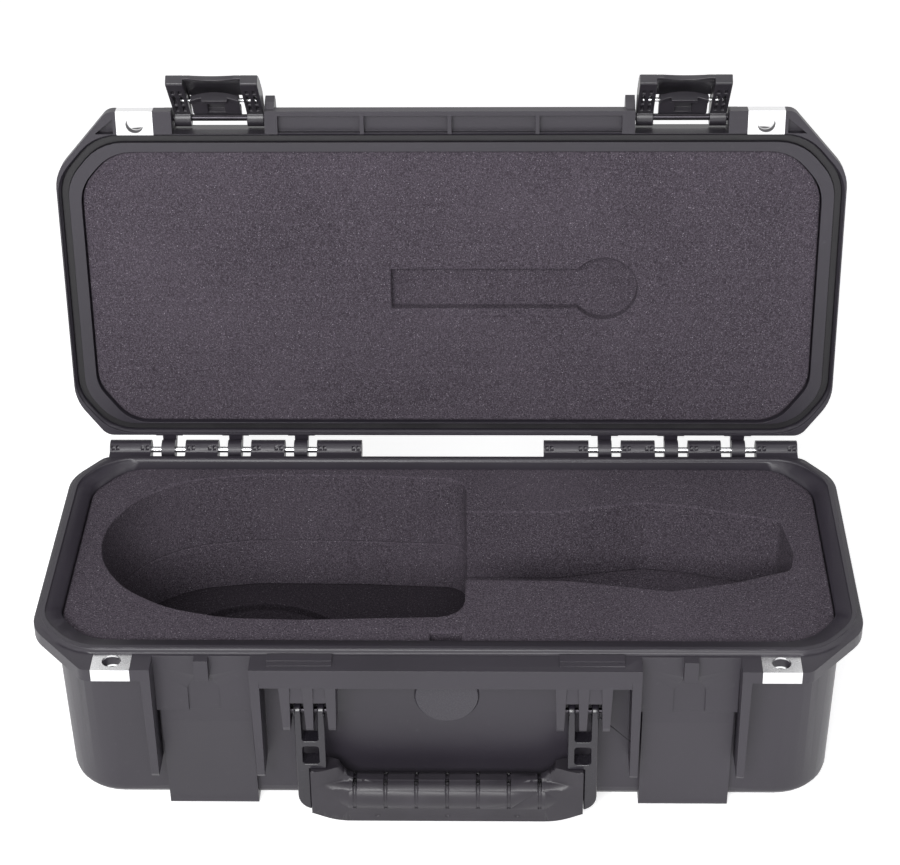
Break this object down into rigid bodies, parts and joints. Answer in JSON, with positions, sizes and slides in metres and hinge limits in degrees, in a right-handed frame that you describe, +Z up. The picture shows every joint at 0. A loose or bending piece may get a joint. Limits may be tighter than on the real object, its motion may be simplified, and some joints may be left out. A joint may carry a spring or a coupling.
{
  "type": "hinged protective case",
  "caption": "Black moulded case for a microphone: hinged lid, two latches, folding carrying handle, cut foam inside.",
  "frame": {"origin": "on the floor under the middle of the rim flange, midway between the ends of the case", "axes": "+X along the case to the right seen from the front, +Y from front to back, +Z up"},
  "size_m": [0.47, 0.2918, 0.3682],
  "materials": {
    "case_plastic": "moulded polypropylene with a fine texture, black",
    "latch_plastic": "moulded, fine texture, black",
    "handle_plastic": "moulded, fine texture, black",
    "grip_rubber": "soft overmoulded grip, black",
    "seal_rubber": "seal, black",
    "foam": "open-cell charcoal foam",
    "membrane": "white breathable membrane",
    "plate_steel": "stainless",
    "pin_steel": "stainless",
    "spring_steel": "spring wire"
  },
  "bodies": {
    "base": {"base_shell": "case_plastic", "foam_upper": "foam", "foam_lower": "foam", "foam_floor": "foam", "lock_plate_base_left": "plate_steel", "lock_plate_base_right": "plate_steel", "vent_cap": "case_plastic", "vent_seal": "seal_rubber", "vent_membrane": "membrane", "vent_nut": "case_plastic", "handle_pin_left": "pin_steel", "handle_pin_right": "pin_steel", "hinge_pin_left": "pin_steel", "hinge_pin_right": "pin_steel"},
    "lid": {"lid_shell": "case_plastic", "lid_gasket": "seal_rubber", "lid_foam": "foam", "lock_plate_lid_left": "plate_steel", "lock_plate_lid_right": "plate_steel", "latch_pin_left": "pin_steel", "latch_pin_right": "pin_steel"},
    "handle": {"handle_frame": "handle_plastic", "handle_grip": "grip_rubber"},
    "latch_left": {"latch_lever_left": "latch_plastic", "trigger_pin_left": "pin_steel", "trigger_spring_left": "spring_steel"},
    "trigger_left": {"trigger_left": "latch_plastic"},
    "latch_right": {"latch_lever_right": "latch_plastic", "trigger_pin_right": "pin_steel", "trigger_spring_right": "spring_steel"},
    "trigger_right": {"trigger_right": "latch_plastic"}
  },
  "joints": [
    {"name": "lid_hinge", "type": "hinge", "parent": "base", "child": "lid", "pos_m": [0, 0.1172, 0.114], "axis": [1, 0, 0], "range_deg": [0, 94.6]},
    {"name": "handle_fold", "type": "hinge", "parent": "base", "child": "handle", "pos_m": [0, -0.098, 0.08], "axis": [-1, 0, 0], "range_deg": [0, 95]},
    {"name": "latch_swing_left", "type": "hinge", "parent": "lid", "child": "latch_left", "pos_m": [0, 0.14754, 0.32896], "axis": [1, 0, 0], "range_deg": [-66, 44]},
    {"name": "trigger_press_left", "type": "hinge", "parent": "latch_left", "child": "trigger_left", "pos_m": [0, 0.13851, 0.34434], "axis": [-1, 0, 0], "range_deg": [0, 8], "stiffness_Nm_per_rad": 0.02, "springref_deg": -11.46, "deforming": ["trigger_spring_left"]},
    {"name": "latch_swing_right", "type": "hinge", "parent": "lid", "child": "latch_right", "pos_m": [0, 0.14754, 0.32896], "axis": [1, 0, 0], "range_deg": [-66, 44]},
    {"name": "trigger_press_right", "type": "hinge", "parent": "latch_right", "child": "trigger_right", "pos_m": [0, 0.13851, 0.34434], "axis": [-1, 0, 0], "range_deg": [0, 8], "stiffness_Nm_per_rad": 0.02, "springref_deg": -11.46, "deforming": ["trigger_spring_right"]}
  ]
}
